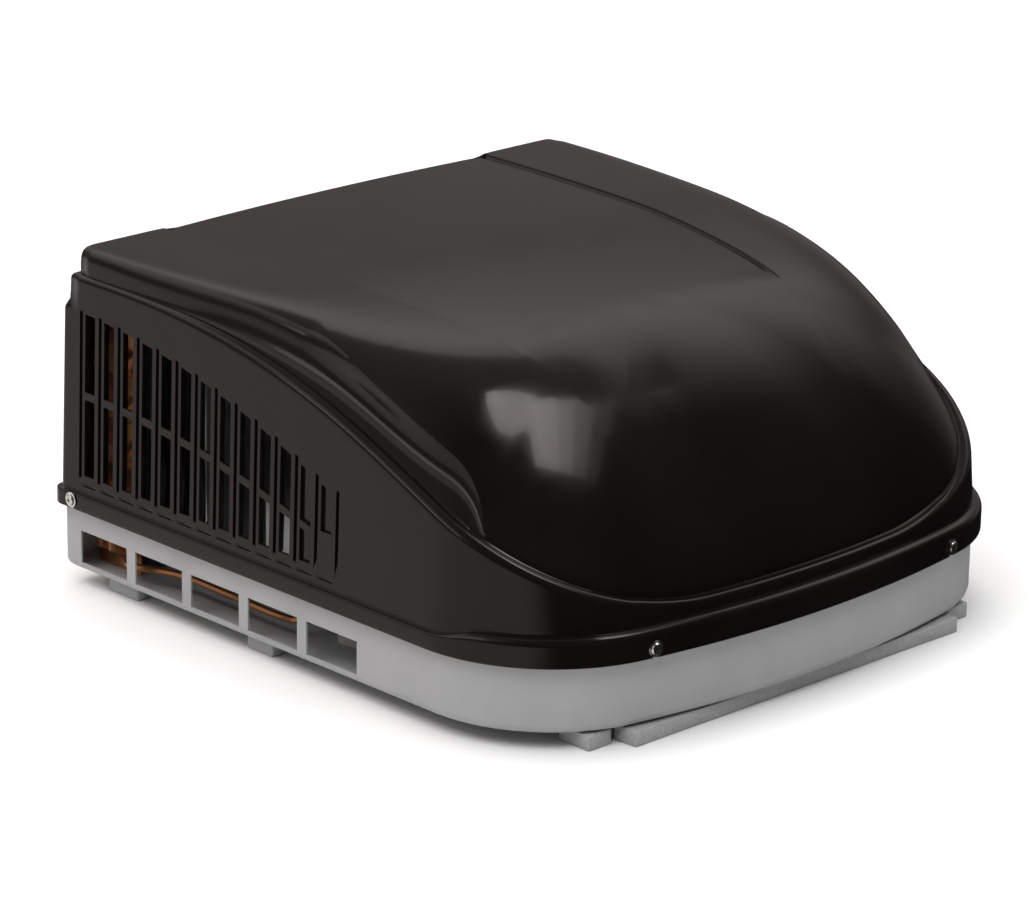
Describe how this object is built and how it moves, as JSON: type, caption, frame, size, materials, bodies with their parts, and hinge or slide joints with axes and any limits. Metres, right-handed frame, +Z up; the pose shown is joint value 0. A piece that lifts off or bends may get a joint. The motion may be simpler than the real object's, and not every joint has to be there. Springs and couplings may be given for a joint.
{
  "type": "rooftop air conditioner",
  "caption": "Rooftop air conditioner for a caravan: a moulded black cover with side louvres on a steel base pan, over its condenser, fan motor, compressor and evaporator.",
  "frame": {"origin": "on the surface that the feet stand on, at the middle of the whole unit's plan", "axes": "+Z up, -Y towards the rounded nose, +Y towards the condenser end, +X to the right as seen facing +Y from the nose"},
  "size_m": [0.716, 0.737, 0.355],
  "materials": {
    "cover_plastic": "glossy moulded plastic",
    "pan_paint": "matt powder coat",
    "grey_foam": "closed-cell foam",
    "white_foam": "expanded foam",
    "galvanised": "galvanised sheet",
    "fin_stock": "fine fins",
    "copper": "drawn tube",
    "black_enamel": "satin enamel",
    "dark_plastic": "moulded",
    "screw_steel": "bright plated",
    "black_rubber": "moulded",
    "red_cable": "smooth sleeve"
  },
  "bodies": {
    "base": {"base_pan": "pan_paint", "roof_gasket": "grey_foam", "rear_foot_left": "grey_foam", "rear_foot_right": "grey_foam", "middle_foot_left": "grey_foam", "middle_foot_right": "grey_foam", "front_foot_left": "grey_foam", "front_foot_right": "grey_foam", "front_support_strip": "grey_foam", "cover_screw_front_left": "screw_steel", "cover_screw_front_right": "screw_steel", "cover_screw_rear_left": "screw_steel", "cover_screw_rear_right": "screw_steel", "clip_nut_front_left": "galvanised", "clip_nut_front_right": "galvanised", "clip_nut_rear_left": "galvanised", "clip_nut_rear_right": "galvanised", "condenser_fin_pack": "fin_stock", "condenser_tube_plate_left": "copper", "condenser_tube_plate_right": "copper", "fan_bulkhead": "galvanised", "motor_case": "black_enamel", "motor_stator": "galvanised", "front_bearing": "screw_steel", "rear_bearing": "screw_steel", "motor_cradle": "galvanised", "motor_strap": "galvanised", "blower_housing": "dark_plastic", "evaporator_housing": "white_foam", "evaporator_fin_pack": "fin_stock", "evaporator_tube_plate_left": "galvanised", "evaporator_tube_plate_right": "galvanised", "compressor": "black_enamel", "compressor_grommet_1": "black_rubber", "compressor_grommet_2": "black_rubber", "compressor_grommet_3": "black_rubber", "compressor_stud_1": "screw_steel", "compressor_stud_2": "screw_steel", "compressor_stud_3": "screw_steel", "suction_accumulator": "black_enamel", "terminal_cover": "dark_plastic", "discharge_line": "copper", "suction_line": "copper", "compressor_inlet": "copper", "liquid_line": "copper", "electrical_box": "galvanised", "electrical_box_lid": "galvanised", "run_capacitor": "screw_steel", "start_relay": "dark_plastic", "motor_lead": "red_cable", "compressor_lead": "dark_plastic"},
    "cover": {"cover": "cover_plastic", "cover_seal": "grey_foam"},
    "rotor": {"motor_shaft": "screw_steel", "motor_rotor_core": "galvanised", "condenser_fan": "dark_plastic", "blower_wheel": "galvanised"}
  },
  "joints": [
    {"name": "cover_lift", "type": "slide", "parent": "base", "child": "cover", "axis": [0, 0, 1], "range_m": [0, 0.26]},
    {"name": "rotor_spin", "type": "hinge", "parent": "base", "child": "rotor", "pos_m": [0, 0, 0.14], "axis": [0, 1, 0], "continuous": true}
  ]
}
